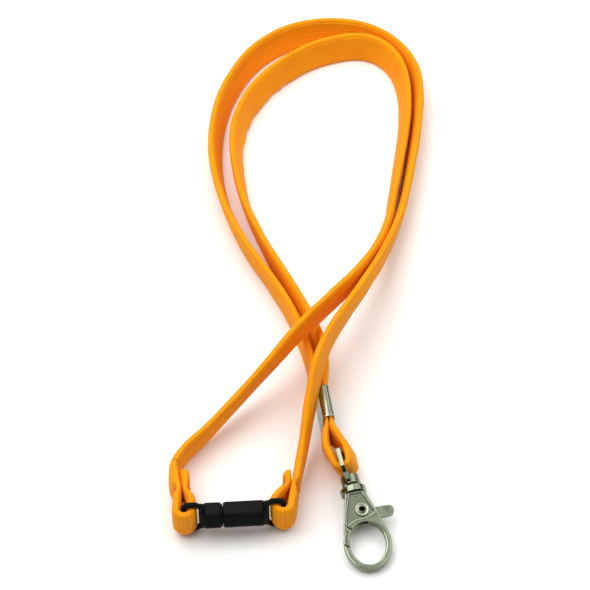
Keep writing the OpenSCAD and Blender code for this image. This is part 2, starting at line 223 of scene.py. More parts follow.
def maths(nt, kind, a, b):
    node = nt.nodes.new("ShaderNodeMath")
    node.operation = kind
    for socket, value in zip(node.inputs, (a, b)):
        if isinstance(value, (int, float)):
            socket.default_value = value
        else:
            nt.links.new(value, socket)
    return node.outputs[0]


def ramp_value(nt, value, low, high):
    """Spreads the middle of a noise, 0.3 to 0.7, over low to high."""
    node = nt.nodes.new("ShaderNodeMapRange")
    nt.links.new(value, node.inputs["Value"])
    node.inputs["From Min"].default_value = 0.3
    node.inputs["From Max"].default_value = 0.7
    node.inputs["To Min"].default_value = low
    node.inputs["To Max"].default_value = high
    return node.outputs["Result"]


def bump(nt, height, strength, distance, normal=None):
    node = nt.nodes.new("ShaderNodeBump")
    node.inputs["Strength"].default_value = strength
    node.inputs["Distance"].default_value = distance
    nt.links.new(height, node.inputs["Height"])
    if normal is not None:
        nt.links.new(normal, node.inputs["Normal"])
    return node.outputs["Normal"]


def wave(nt, vector, direction, scale, distortion=0.0):
    node = nt.nodes.new("ShaderNodeTexWave")
    node.bands_direction = direction
    node.inputs["Scale"].default_value = scale
    node.inputs["Distortion"].default_value = distortion
    nt.links.new(vector, node.inputs["Vector"])
    return node.outputs["Fac"]


def webbing_material(name, light, dark):
    """Woven tube: U runs along the strap and V round it, both in centimetres."""
    mat, nt, bsdf = new_material(name)
    uv = nt.nodes.new("ShaderNodeUVMap")
    uv.uv_map = "weave"
    picks = wave(nt, uv.outputs[0], "X", WAVE_BAND / PICK_PITCH, 0.25)
    wales = wave(nt, uv.outputs[0], "Y", WAVE_BAND / WALE_PITCH, 0.2)
    fuzz = noise_node(nt, 9000.0, 2.0)
    patches = noise_node(nt, 90.0, 3.0)
    weave = maths(nt, "ADD", maths(nt, "MULTIPLY", picks, 0.5), maths(nt, "MULTIPLY", wales, 0.5))
    height = maths(nt, "ADD", weave, maths(nt, "MULTIPLY", fuzz.outputs["Fac"], 0.35))
    tone = maths(nt, "ADD", maths(nt, "MULTIPLY", weave, 0.75),
                 maths(nt, "MULTIPLY", patches.outputs["Fac"], 0.5))
    nt.links.new(mix_colours(nt, tone, dark, light), bsdf.inputs["Base Color"])
    nt.links.new(ramp_value(nt, patches.outputs["Fac"], 0.62, 0.78), bsdf.inputs["Roughness"])
    bsdf.inputs["Specular IOR Level"].default_value = 0.12
    bsdf.inputs["Sheen Weight"].default_value = 0.06
    bsdf.inputs["Sheen Roughness"].default_value = 0.4
    bsdf.inputs["Sheen Tint"].default_value = (1.0, 0.62, 0.2, 1)
    nt.links.new(bump(nt, height, 0.55, 0.00022), bsdf.inputs["Normal"])
    return mat


def metal_material(name, light, dark, rough_low, rough_high):
    """Metal with soft clouding, painted shade in hollows and painted highlights on edges, fine
    scratches and an uneven polish.
    """
    mat, nt, bsdf = new_material(name)
    clouds = noise_node(nt, 420.0, 4.0)
    coord = nt.nodes.new("ShaderNodeTexCoord")
    stretch = nt.nodes.new("ShaderNodeMapping")
    stretch.inputs["Scale"].default_value = (1.0, 0.12, 1.0)
    nt.links.new(coord.outputs["Object"], stretch.inputs["Vector"])
    scratches = noise_node(nt, METAL_GRAIN * 3, 2.0, stretch.outputs["Vector"])
    pits = noise_node(nt, METAL_GRAIN, 3.0)
    # Pointiness paints shade into hollows and highlights onto edges, added to the cloud tone
    surface = nt.nodes.new("ShaderNodeNewGeometry")
    edges = ramp_value(nt, surface.outputs["Pointiness"], -3.4, 3.8)
    tone = maths(nt, "ADD", maths(nt, "MULTIPLY", clouds.outputs["Fac"], 0.5), edges)
    nt.links.new(mix_colours(nt, tone, dark, light), bsdf.inputs["Base Color"])
    wear = maths(nt, "ADD", maths(nt, "MULTIPLY", clouds.outputs["Fac"], 0.6),
                 maths(nt, "MULTIPLY", scratches.outputs["Fac"], 0.4))
    nt.links.new(ramp_value(nt, wear, rough_low, rough_high), bsdf.inputs["Roughness"])
    bsdf.inputs["Metallic"].default_value = 1.0
    first = bump(nt, scratches.outputs["Fac"], 0.08, 0.00005)
    nt.links.new(bump(nt, pits.outputs["Fac"], 0.12, 0.00008, first), bsdf.inputs["Normal"])
    return mat


def plastic_material(name):
    """Black acetal with a fine moulded grain and lighter rubbed patches."""
    mat, nt, bsdf = new_material(name)
    grain = noise_node(nt, 5200.0, 2.0)
    patches = noise_node(nt, 260.0, 4.0)
    colour = mix_colours(nt, patches.outputs["Fac"], (0.004, 0.005, 0.0045), (0.008, 0.0095, 0.0085))
    nt.links.new(colour, bsdf.inputs["Base Color"])
    nt.links.new(ramp_value(nt, patches.outputs["Fac"], 0.34, 0.50), bsdf.inputs["Roughness"])
    bsdf.inputs["Specular IOR Level"].default_value = 0.05
    nt.links.new(bump(nt, grain.outputs["Fac"], 0.12, 0.00006), bsdf.inputs["Normal"])
    return mat


def thread_material(name):
    """Sewing thread with a twisted, uneven ply."""
    mat, nt, bsdf = new_material(name)
    ply = noise_node(nt, 7000.0, 2.0)
    colour = mix_colours(nt, ply.outputs["Fac"], (0.50, 0.10, 0.004), (0.85, 0.24, 0.01))
    nt.links.new(colour, bsdf.inputs["Base Color"])
    bsdf.inputs["Roughness"].default_value = 0.6
    nt.links.new(bump(nt, ply.outputs["Fac"], 0.4, 0.0001), bsdf.inputs["Normal"])
    return mat


make_camera()
make_light()
make_floor()
WEBBING = webbing_material("webbing", (0.97, 0.385, 0.005), (0.86, 0.20, 0.002))
NICKEL = metal_material("nickel_cast", (0.35, 0.385, 0.285), (0.075, 0.09, 0.06), 0.12, 0.24)
SHEET = metal_material("nickel_sheet", (0.36, 0.38, 0.29), (0.12, 0.135, 0.095), 0.16, 0.28)
RIVET = metal_material("nickel_rivet", (0.46, 0.47, 0.36), (0.26, 0.28, 0.20), 0.22, 0.36)
# A darker, rougher copy of the cast nickel for the pockets: its darker colour is painted shade
RECESS_PAINTED_SHADE = metal_material("nickel_recess_painted_shade", (0.20, 0.225, 0.165), (0.11, 0.125, 0.09), 0.26, 0.42)
# Near-black for the inside of the rivet's bore: painted shade in the hole
BORE_PAINTED_SHADE = metal_material("rivet_bore_painted_shade", (0.030, 0.030, 0.026), (0.012, 0.012, 0.010), 0.5, 0.7)
STEEL = metal_material("spring_steel", (0.52, 0.52, 0.50), (0.40, 0.40, 0.38), 0.25, 0.40)
ACETAL = plastic_material("black_acetal")
THREAD = thread_material("lock_stitch")


# ---------------------------------------------------------------- strap routes, as in the part
# Each row is x, y, rise, lean in x, lean in y and, only where it is squeezed, its thickness
RUN_PLUG = [
    (6.4, -59.5, 0.8, 0.04, 0, SQUEEZED_THICK), (6.8, -55, 0.4, 0.1, 0), (6.6, -46, 0.2, 0.2, 0.04),
    (4.6, -35, 0, 0.18, 0.05), (-0.8, -21, 0, 0.12, 0.04), (-6.6, -8, 0, 0, 0),
    (-14.2, 8.5, 0, -0.12, -0.04), (-20.9, 26.5, 0, -0.2, -0.04), (-24.5, 44, 0, -0.27, 0),
    (-25.3, 60.5, 0, -0.3, 0.04), (-22.5, 75, 0, -0.28, 0.12), (-16, 88, 0, -0.21, 0.2),
    (-7, 98, 0, -0.12, 0.26), (3.5, 105.8, 0, -0.06, 0.3), (15, 110.3, 0, 0, 0.3),
    (24.2, 111, 0, 0.08, 0.28), (31.6, 107.2, 0, 0.18, 0.2), (37, 99, 0, 0.24, 0.1),
    (39.5, 87, 0, 0.26, 0.03), (39.5, 74, 0, 0.25, 0), (38.2, 61, 0, 0.23, -0.02),
    (36.2, 48, 0, 0.2, -0.04), (33.8, 33, 0.3, 0.14, -0.04), (31.2, 16.5, 2, 0.08, -0.03),
    (26.1, 0.5, 5.5, 0.06, -0.04), (18.4, -15.2, 10.5, 0.04, -0.03),
    (8.8, -28.6, 13.2, 0.02, -0.02), (-1.3, -40.2, 12.6, 0.04, -0.04),
    (-12, -52, 8.5, 0.12, -0.1), (-22.8, -63.4, 3.6, 0.16, -0.14),
    (-32.8, -74.6, 0.8, 0.1, -0.1), (-40, -82.8, 0.5, 0.08, -0.04), (-43.6, -90.2, 1, 0.06, 0),
]
RUN_SOCKET = [
    (4.9, -59.7, 0.8, 0.04, 0, SQUEEZED_THICK), (4, -54, 0.4, 0.04, 0), (2.4, -45.5, 0.2, 0.02, 0),
    (-0.6, -34, 0, 0.02, 0), (-5.4, -21, 0, -0.02, 0), (-12.4, -7.5, 0, -0.1, 0),
    (-21.4, 8.5, 0, -0.16, -0.03), (-28.6, 26.5, 0, -0.22, -0.03), (-32.6, 44, 0, -0.28, 0),
    (-33.5, 60.5, 0, -0.3, 0.04), (-31.5, 76.7, 0, -0.28, 0.1), (-26.8, 91.2, 0, -0.22, 0.18),
    (-19.7, 103.8, 0, -0.16, 0.25), (-9.7, 113.3, 0, -0.1, 0.29), (1.2, 118.2, 0, -0.04, 0.31),
    (13, 119.6, 0, 0.02, 0.3), (24, 117.5, 0, 0.09, 0.26), (33.3, 111.8, 0, 0.16, 0.2),
    (40.1, 103.4, 0, 0.22, 0.12), (43.8, 93.5, 0, 0.25, 0.05), (44.5, 82, 0, 0.26, 0),
    (43.6, 69, 0, 0.25, 0), (41.6, 53, 0, 0.22, -0.02), (38.5, 35, 0.2, 0.18, -0.03),
    (34.6, 17, 1.6, 0.14, -0.02), (29.2, 1, 4.6, 0.13, 0), (22.8, -15, 9, 0.12, 0),
    (15.8, -30, 12.4, 0.08, 0), (9.2, -43.5, 14, 0, 0), (4.8, -56.5, 13.8, -0.1, 0.03),
    (2.1, -69, 8.5, -0.1, 0), (0.2, -80, 3.6, -0.04, 0), (-1.5, -89, 1.9, 0.02, 0),
]


def around(degrees):
    a = math.radians(degrees)
    return math.cos(a), math.sin(a)


def turned(x, y, degrees):
    c, s = around(degrees)
    return x * c - y * s, x * s + y * c


def on_connector(x, y):
    p = turned(x, y, CONNECTOR_TURN)
    return CONNECTOR.x + p[0], CONNECTOR.y + p[1]


def in_crimp(along, side):
    p = turned(side, along, CRIMP_TURN)
    return CRIMP.x + p[0], CRIMP.y + p[1]


def by_hook(x, y):
    p = turned(x, y, HOOK_TURN)
    return HOOK.x + p[0], HOOK.y + p[1]


def crimp_layer(side):
    """One squeezed layer's rows, from the upper end of the clamp to the lower one."""
    lean = math.tan(math.radians(CRIMP_LEAN))
    rise = CRIMP.z - STRAP_WIDTH / 2
    return [(*in_crimp(along, side), rise, lean, 0, SQUEEZED_THICK)
            for along in (CRIMP_HALF, -CRIMP_HALF)]


def hook_loop_rows():
    """Down through the clamp, round the eye's post and up through the clamp again."""
    bend = []
    for a in range(180, 361, 30):
        c, s = around(a)
        bend.append((*by_hook(EYE_BEND_X + EYE_BEND * c, EYE_BEND_Y + EYE_BEND * s),
                     2.8 + 0.7 * c + 0.3 * s, -0.28, -0.25))
    return [
        *crimp_layer(-CRIMP_LAYER),
        (7.4, -77, 0.7, 0, 0), (8.2, -82, 1.2, -0.16, -0.1), (10, -86, 1.8, -0.27, -0.22),
        *bend,
        (14.9, -83.2, 3, -0.27, -0.22), (12.1, -79, 1.8, -0.08, -0.08), (9.6, -75, 0.9, 0.04, 0),
        *reversed(crimp_layer(CRIMP_LAYER)),
    ]


def sewn_loop_rows(inward, post_x, way, tail):
    """In from the run, half a turn round a loop ring's post, and back along the sewn tail."""
    turn = []
    for a in range(0, 181, 30):
        c, s = around(a)
        turn.append((*on_connector(post_x - way * POST_BEND * c, -POST_BEND * s), 2, 0, 0))
    return [*inward, *turn, *tail]


PLUG_LOOP = sewn_loop_rows(
    [(-43.6, -90.5, 1, 0.06, 0), (-42.9, -96.2, 1.6, 0.12, 0), (-41.6, -101, 2, 0.02, 0)],
    PLUG_POST, 1,
    [(-37.6, -105.5, 2, 0, 0), (-39.2, -101, 2, 0.02, 0), (-40.3, -96.5, 2, 0.1, 0),
     (-40.8, -93, 2, 0.12, 0)])
SOCKET_LOOP = sewn_loop_rows(
    [(-1.5, -89, 1.9, 0.02, 0), (-2.6, -95, 2, 0.02, 0), (-3.4, -100, 2, 0, 0)],
    SOCKET_POST, -1,
    [(-9.2, -104.6, 2, 0, 0), (-5.9, -100, 2, 0, 0), (-5.2, -97, 2, 0, 0),
     (-5.5, -93, 2, -0.03, 0)])


# ---------------------------------------------------------------- mesh helpers
def spline(a, b, c, d, u):
    """Catmull-Rom value at u between b and c."""
    return 0.5 * (2 * b + (c - a) * u + (2 * a - 5 * b + 4 * c - d) * u * u
                  + (3 * b - a - 3 * c + d) * u ** 3)


def neighbours(points, i):
    """The four points round stretch i, with the end ones repeated."""
    return [points[max(0, min(len(points) - 1, i + k))] for k in (-1, 0, 1, 2)]


def ring_stack(rings):
    """A closed skin over rings of equal count, each a list of points."""
    count = len(rings[0])
    verts = [p for ring in rings for p in ring]
    faces = []
    for n in range(len(rings) - 1):
        for k in range(count):
            a, b = n * count + k, n * count + (k + 1) % count
            faces.append((a, a + count, b + count, b))
    last = (len(rings) - 1) * count
    faces.append(tuple(range(count)))
    faces.append(tuple(range(last + count - 1, last - 1, -1)))
    return verts, faces


def flip_if_inside_out(mesh):
    bm = bmesh.new()
    bm.from_mesh(mesh)
    if bm.calc_volume(signed=True) < 0:
        bmesh.ops.reverse_faces(bm, faces=bm.faces)
        bm.to_mesh(mesh)
    bm.free()


# ---------------------------------------------------------------- swept straps
# Thickness of the visible strap in the clamp, and points round its section
SQUEEZED_SOFT = 1.45
SIDES = 56
# Stations worked out between two rows before they are spaced evenly
STEPS = 24
# How far a row of lock stitches pulls the strap in, and over what length each way
PINCH_DEPTH = 0.35
PINCH_REACH = 3.0
# Small folds at the lower edge start this far below the middle, out of 1
PUCKER_FROM = 0.2
PUCKER_SIZE = 0.4


def blend_rows(rows, i, u):
    """The row at u along stretch i, with its thickness filled in."""
    full = [[*row[:5], row[5] if len(row) > 5 else STRAP_THICK] for row in neighbours(rows, i)]
    return [spline(*four, u) for four in zip(*full)]


def close_stations(rows, before, after):
    """Length so far, centre, up and CAD thickness at many places along the rows."""
    chain = [row for row in (before, *rows, after) if row]
    first = 1 if before else 0
    blended = [blend_rows(chain, first + i, k / STEPS)
               for i in range(len(rows) - 1) for k in range(STEPS)]
    blended.append(blend_rows(chain, first + len(rows) - 2, 1.0))
    stations, so_far, last = [], 0.0, None
    for x, y, rise, lean_x, lean_y, thick in blended:
        up = Vector((lean_x, lean_y, 1)).normalized()
        mid = Vector((x, y, rise + (STRAP_WIDTH - thick) / 2 * up.z + thick / 2)) + LAY
        if last is not None:
            so_far += (mid - last).length
        stations.append((so_far, mid, up, thick))
        last = mid
    return stations


def even_stations(stations, step):
    """The same at even steps."""
    total = stations[-1][0]
    count = max(4, round(total / step))
    even, j = [], 0
    for n in range(count + 1):
        want = total * n / count
        while j < len(stations) - 2 and stations[j + 1][0] < want:
            j += 1
        a, b = stations[j], stations[j + 1]
        t = (want - a[0]) / max(1e-9, b[0] - a[0])
        even.append((want, a[1].lerp(b[1], t), a[2].lerp(b[2], t).normalized(),
                     a[3] + (b[3] - a[3]) * t))
    return even


def strap_frames(rows, step, before, after):
    """Even stations: length so far, centre, up, across and CAD thickness, in mm."""
    even = even_stations(close_stations(rows, before, after), step)
    last = len(even) - 1
    frames = []
    for n, (so_far, mid, up, thick) in enumerate(even):
        along = (even[min(n + 1, last)][1] - even[max(n - 1, 0)][1]).normalized()
        up = (up - along * up.dot(along)).normalized()
        frames.append((so_far, mid, up, along.cross(up), thick))
    return frames


def strap_section():
    """Side and height, from -1 to 1, of each point: up one face and down the other."""
    half = SIDES // 2
    points = []
    for k in range(SIDES):
        q = k if k <= half else SIDES - k
        h = -math.cos(math.pi * q / half)
        if 0 < q < half:
            h = 0.55 * h + 0.45 * (2 * q / half - 1)
        points.append((1 if k <= half else -1, h))
    return points


def soft_thickness(so_far, mid, squeeze, fat, seed, pinch_y):
    """The strap's thickness, a little uneven, and less where it is squeezed or sewn."""
    thick = SQUEEZED_SOFT + (fat - SQUEEZED_SOFT) * squeeze
    thick *= 1 + 0.07 * squeeze * noise.noise(Vector((so_far * 0.09, seed, 3.1)))
    if pinch_y is not None:
        away = abs(mid.y - pinch_y) / PINCH_REACH
        if away < 1:
            thick *= 1 - PINCH_DEPTH * (0.5 + 0.5 * math.cos(math.pi * away))
    return thick


def half_thickness(thick, h, squeeze):
    """From the middle to a face at height h: rounded edges and faint ribs."""
    half = thick / 2 * math.sqrt(max(0.0, 1 - abs(h) ** 6))
    return half * (1 + 0.035 * squeeze * math.cos(h * 6 * math.pi))


def ripple(so_far, h, pucker):
    """Small folds in the lower edge of a stretch that is bent hard."""
    if pucker is None or h >= -PUCKER_FROM or not pucker[0] < so_far < pucker[1]:
        return 0.0
    fade = math.sin(math.pi * (so_far - pucker[0]) / (pucker[1] - pucker[0]))
    fold = math.sin(so_far * 0.55 + 1.6 * math.sin(so_far * 0.23))
    return PUCKER_SIZE * fade * (-h - PUCKER_FROM) * fold


def weave_corners(faces, places):
    """Weave coordinates for each corner of each face; V carries on over the seam."""
    corners = []
    for face in faces:
        if len(face) == 4 and face[0] % SIDES == SIDES - 1:
            a, far_a, far_b, b = face
            corners += [places[a], places[far_a], (places[far_b][0], places[far_a][1] + 0.05),
                        (places[b][0], places[a][1] + 0.05)]
        else:
            corners += [places[i] for i in face]
    return corners


def strap_piece(name, rows, fat=2.9, step=0.8, seed=0.0, taper=0.0, tip=4.0, pinch_y=None,
                pucker=None, outward=0, before=None, after=None):
    """A soft flattened tube along the rows, ribbed lengthwise, with weave coordinates.

    The last stretch narrows over the length of taper, and outward moves the strap away from
    the layer that it is sewn to. Rows before and after only guide the curve at the ends."""
    frames = strap_frames(rows, step, before, after)
    total = frames[-1][0]
    section = strap_section()
    rings, places = [], []
    for so_far, mid, up, across, cad_thick in frames:
        squeeze = (cad_thick - SQUEEZED_THICK) / (STRAP_THICK - SQUEEZED_THICK)
        squeeze = min(1.0, max(0.0, squeeze))
        thick = soft_thickness(so_far, mid, squeeze, fat, seed, pinch_y)
        half_width = STRAP_WIDTH / 2
        if taper and total - so_far < taper:
            t = 1 - (total - so_far) / taper
            half_width *= 1 - 0.38 * t * t
            thick *= math.sqrt(max(0.02, 1 - t ** tip))
        sway = 0.16 * squeeze * noise.noise(Vector((so_far * 0.05, seed + 7.0, 1.7)))
        sway += outward * (thick - STRAP_THICK) / 2 * min(1.0, so_far / 9.0)
        ring, girth = [], 0.0
        for side, h in section:
            rough = noise.noise(Vector((so_far * 0.7, h * 4, seed + side)))
            out = side * (half_thickness(thick, h, squeeze) + 0.03 * squeeze * rough)
            p = mid + across * (out + sway + ripple(so_far, h, pucker)) + up * (half_width * h)
            if ring:
                girth += (p - ring[-1]).length
            ring.append(p)
            places.append((so_far / 10, girth / 10))
        rings.append(ring)
    verts, faces = ring_stack(rings)
    mesh = bpy.data.meshes.new(name)
    mesh.from_pydata([p * MM for p in verts], [], faces)
    layer = mesh.uv_layers.new(name="weave")
    for loop, place in zip(layer.data, weave_corners(faces, places)):
        loop.uv = place
    layer.active_render = True
    mesh.polygons.foreach_set("use_smooth", [True] * len(mesh.polygons))
    mesh.materials.append(WEBBING)
    piece = add_object(name, mesh)
    flip_if_inside_out(mesh)
    return piece, [frame[1] * MM for frame in frames]


def make_runs():
    """Both long runs of the strap."""
    inner, inner_path = strap_piece("neck_strap_inner", RUN_PLUG, seed=1.0, pucker=(100, 185),
                                    after=PLUG_LOOP[1])
    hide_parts("strap_run_plug")
    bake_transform(inner)
    outer, outer_path = strap_piece("neck_strap_outer", RUN_SOCKET, seed=5.0,
                                    after=SOCKET_LOOP[1])
    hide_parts("strap_run_socket")
    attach(outer, "strap")


def make_loops():
    """The slack loop under the clamp, and both ends sewn round the connector's posts."""
    hook_loop = strap_piece("hook_loop_strap", hook_loop_rows(), fat=2.6, step=0.5, seed=9.0)[0]
    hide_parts("strap_hook_loop")
    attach(hook_loop, "strap")
    plug_loop = strap_piece("plug_loop_strap", PLUG_LOOP, fat=3.0, step=0.5, seed=12.0,
                            taper=2.5, pinch_y=-99.0, outward=1, before=RUN_PLUG[-2])[0]
    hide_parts("strap_plug_loop")
    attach(plug_loop, "plug")
    socket_loop = strap_piece("socket_loop_strap", SOCKET_LOOP, fat=3.0, step=0.5, seed=15.0,
                              taper=3.0, tip=1.8, pinch_y=-97.4, outward=-1,
                              before=RUN_SOCKET[-2])[0]
    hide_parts("strap_socket_loop")
    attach(socket_loop, "strap")


# ---------------------------------------------------------------- hard parts
AT_CONNECTOR = (Matrix.Translation(CONNECTOR + LAY)
                @ Matrix.Rotation(math.radians(CONNECTOR_TURN), 4, "Z"))
AT_CRIMP = (Matrix.Translation(CRIMP + LAY) @ Matrix.Rotation(math.radians(CRIMP_TURN), 4, "Z")
            @ Matrix.Rotation(math.radians(CRIMP_LEAN), 4, "Y"))
AT_HOOK = (Matrix.Translation(HOOK + LAY) @ Matrix.Rotation(math.radians(HOOK_TURN), 4, "Z")
           @ Matrix.Rotation(math.radians(HOOK_DIP), 4, "X"))
# Where (radius across, radius up, height) go for each axis of a turned shape
AXIS_ORDER = {"x": (2, 0, 1), "y": (0, 2, 1), "z": (0, 1, 2)}


def new_piece(name, shape, place, material, smooth_angle=35.0):
    """A closed mesh from a shape's points and faces in local millimetres, put in its place."""
    verts, faces = shape
    mesh = bpy.data.meshes.new(name)
    mesh.from_pydata([(place @ Vector(v)) * MM for v in verts], [], faces)
    flip_if_inside_out(mesh)
    mesh.materials.append(material)
    piece = add_object(name, mesh)
    mesh.set_sharp_from_angle(angle=math.radians(smooth_angle))
    return piece


def gather(shapes):
    """Several shapes as one."""
    verts, faces = [], []
    for shape_verts, shape_faces in shapes:
        base = len(verts)
        verts += shape_verts
        faces += [tuple(i + base for i in face) for face in shape_faces]
    return verts, faces


def shifted(shape, along):
    verts, faces = shape
    return [(v[0] + along, v[1], v[2]) for v in verts], faces


def mirrored(shape):
    verts, faces = shape
    return [(-x, y, z) for x, y, z in verts], faces


def lathe(profile, count=64, axis="z"):
    """A closed outline of (radius, height) pairs, turned about an axis."""
    verts = []
    for k in range(count):
        a = 2 * math.pi * k / count
        for r, height in profile:
            spot = (r * math.cos(a), r * math.sin(a), height)
            verts.append(tuple(spot[i] for i in AXIS_ORDER[axis]))
    n = len(profile)
    faces = []
    for k in range(count):
        near, far = k * n, (k + 1) % count * n
        for j in range(n):
            up = (j + 1) % n
            faces.append((near + j, far + j, far + up, near + up))
    return verts, faces


def tube(points, radius, count=20):
    """A round bar along a smooth curve through the points."""
    path = [spline(*[Vector(p) for p in neighbours(points, i)], k / 8)
            for i in range(len(points) - 1) for k in range(8)]
    path.append(Vector(points[-1]))
    rings = []
    for n, p in enumerate(path):
        along = (path[min(n + 1, len(path) - 1)] - path[max(n - 1, 0)]).normalized()
        side = along.cross(Vector((0, 1, 0)))
        if side.length < 0.1:
            side = along.cross(Vector((1, 0, 0)))
        side.normalize()
        other = along.cross(side)
        rings.append([p + (side * math.cos(2 * math.pi * k / count)
                           + other * math.sin(2 * math.pi * k / count)) * radius
                      for k in range(count)])
    return ring_stack(rings)


def rounded_block(x0, x1, half_depth, half_height, edge):
    """A block with rolled edges, even about the x axis."""
    low = (min(x0, x1), -half_depth, -half_height)
    high = (max(x0, x1), half_depth, half_height)
    mid = [(a + b) / 2 for a, b in zip(low, high)]
    bm = bmesh.new()
    bmesh.ops.create_cube(bm, size=1.0)
    for v in bm.verts:
        v.co = Vector([m + c * (b - a) for m, c, a, b in zip(mid, v.co, low, high)])
    bmesh.ops.bevel(bm, geom=list(bm.edges), offset=edge, segments=4, profile=0.5,
                    affect="EDGES")
    bm.verts.index_update()
    verts = [v.co.copy() for v in bm.verts]
    faces = [tuple(v.index for v in f.verts) for f in bm.faces]
    bm.free()
    return verts, faces


# ---- Breakaway connector ----
BARREL_POINTS = 120
# (place along the barrel, limiting radius) from a mating face to the widest section
BARREL_END = [(0.0, 3.78), (0.06, 3.95), (0.25, 4.16), (0.6, 4.48), (1.0, 4.78)]
# The socket's bore, from its bottom, over the groove for the barbs, out to its mouth
BORE_WALL = [(10.5, 0.3), (10.5, 3.0), (7.2, 3.0), (7.15, 3.35), (5.35, 3.35), (5.3, 3.0),
             (0.35, 3.0), (0.0, 3.3)]
# (along, up) of the ring's upper arm, and the post that it curls over to
RING_ARM = [(0.8, 4.4), (1.2, 5.5), (2.1, 6.5), (3.3, 7.03), (4.7, 6.95), (5.8, 6.4),
            (6.35, 5.5), (6.4, 4.4)]
RING_POST = 6.4
# The stub behind the prongs, as (radius, along), and one prong, as (along, radius)
STUB = [(0.01, -0.4), (3.7, -0.4), (3.7, 0.65), (2.9, 0.7), (2.9, 1.15), (2.3, 1.35),
        (2.3, 1.9), (0.01, 1.9)]
PRONG = [(1.7, 2.3), (6.1, 2.3), (6.4, 2.88), (7.3, 2.88), (8.2, 2.35), (8.5, 2.0)]
HALF_SLOT = 0.45


def barrel_ring(x, radius_at):
    """One section of a barrel; radius_at gives the radius for an angle from the first corner."""
    ring = []
    for k in range(BARREL_POINTS):
        a = 2 * math.pi * k / BARREL_POINTS
        r = radius_at(a)
        ring.append((x, r * math.sin(a + math.radians(30)), r * math.cos(a + math.radians(30))))
    return ring


def hexagon(limit):
    """Radius of a hexagon whose corners are rolled and cut back to a limiting radius."""
    def radius_at(a):
        off = math.degrees(a) % 60 - 30
        r = BARREL_FLATS / 2 / math.cos(math.radians(off))
        if r > limit - 0.3:
            r = min(r, limit - 0.12 * math.exp(-((30 - abs(off)) / 4.0) ** 2))
        return r
    return radius_at


def barrel(length, bore=()):
    """Outer skin from the mating face outwards, after the bore's wall when there is one."""
    skin = BARREL_END + [(length - x, r) for x, r in reversed(BARREL_END)]
    rings = [barrel_ring(x, lambda a, r=r: r) for x, r in bore]
    rings += [barrel_ring(x, hexagon(limit)) for x, limit in skin]
    return ring_stack(rings)


def loop_ring(way):
    """Base bar, two round arms that curl over to the post, the post, and a collar."""
    shapes = [rounded_block(0, way * 1.7, 1.3, 6.0, 0.55)]
    for up in (-1, 1):
        shapes.append(tube([(way * x, 0, up * z) for x, z in RING_ARM], 0.93))
    shapes.append(tube([(way * RING_POST, 0, z) for z in (-5.5, -2, 2, 5.5)], 0.88))
    shapes.append(rounded_block(-0.3 * way, way * 0.8, 2.6, 3.6, 0.5))
    return gather(shapes)


def prongs():
    """Round stub, split crosswise into four barbed fingers."""
    shapes = [lathe(STUB, 48, "x")]
    for quarter in range(4):
        rings = []
        for x, r in PRONG:
            start = math.asin(HALF_SLOT / r)
            section = [(HALF_SLOT, HALF_SLOT)]
            for k in range(9):
                a = start + (math.pi / 2 - 2 * start) * k / 8
                section.append((r * math.cos(a), r * math.sin(a)))
            rings.append([(x, *turned(y, z, 90 * quarter)) for y, z in section])
        shapes.append(ring_stack(rings))
    return gather(shapes)


def make_plug():
    shape = gather([mirrored(barrel(PLUG_LENGTH)), shifted(loop_ring(-1), -PLUG_LENGTH),
                    shifted(prongs(), -0.2)])
    place = AT_CONNECTOR @ Matrix.Translation((-HALF_SEAM, 0, 0))
    plug = new_piece("connector_plug_shell", shape, place, ACETAL)
    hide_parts("connector_plug")
    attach(plug, "plug")


def make_socket():
    shape = gather([barrel(SOCKET_LENGTH, BORE_WALL), shifted(loop_ring(1), SOCKET_LENGTH)])
    place = AT_CONNECTOR @ Matrix.Translation((HALF_SEAM, 0, 0))
    socket = new_piece("connector_socket_shell", shape, place, ACETAL)
    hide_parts("connector_socket")
    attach(socket, "strap")


# ---- Lock stitches ----
STITCHES = 7
STITCH_PITCH = 1.25
# Middle of the sewn stretches: the strap's rise there and half its width
STITCH_HEIGHT = 8


def lock_stitch(x, out, y, z, tilt):
    """One slanted stitch on a face that looks out, with both ends down in the strap."""
    return tube([(x - out * 0.5, y - 1.15, z - tilt), (x + out * 0.12, y - 0.8, z - tilt),
                 (x + out * 0.2, y, z), (x + out * 0.12, y + 0.8, z + tilt),
                 (x - out * 0.5, y + 1.15, z + tilt)], 0.21, 10)


def stitches(name, node, body, left, right, y):
    """A row of stitches on each face of two sewn layers."""
    shapes = []
    for x, out in ((left, -1), (right, 1)):
        for k in range(STITCHES):
            z = STITCH_HEIGHT + (k - STITCHES // 2) * STITCH_PITCH
            shapes.append(lock_stitch(x, out, y, z, 0.22 if k % 2 else -0.22))
    piece = new_piece(name, gather(shapes), Matrix.Translation(LAY), THREAD)
    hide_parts(node)
    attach(piece, body)


# ---- Crimp clamp ----
SHEET_THICK = 0.5
# The right wall, from the lip underneath to the top, before it is bitten in
CRIMP_WALL = [(0.35, -6.55), (1.1, -6.6), (1.75, -6.35), (2.05, -5.6), (2.05, -3.0), (2.0, 0.0),
              (2.05, 3.0), (2.05, 5.2), (1.85, 6.05), (1.3, 6.45), (0.6, 6.62)]
CRIMP_RIDGE = (0.0, 6.72)


def crimp_section(t):
    """Outline of the folded sheet at t, from -1 to 1 along it: lip to lip, then back inside."""
    bite = 0.10 * math.cos(t * math.pi * 3) - 0.06
    flare = 0.16 * max(0.0, abs(t) - 0.82) / 0.18
    wall = []
    for x, z in CRIMP_WALL:
        if x > 1.0:
            x += bite * max(0.0, 1 - (z / 6.0) ** 2) + flare
        wall.append((x, z))
    outside = wall + [CRIMP_RIDGE] + [(-x, z) for x, z in reversed(wall)]
    inside = []
    for n, (x, z) in enumerate(outside):
        before = Vector(outside[max(0, n - 1)])
        after = Vector(outside[min(len(outside) - 1, n + 1)])
        along = (after - before).normalized()
        inside.append((x - along.y * SHEET_THICK, z + along.x * SHEET_THICK))
    return outside + list(reversed(inside))


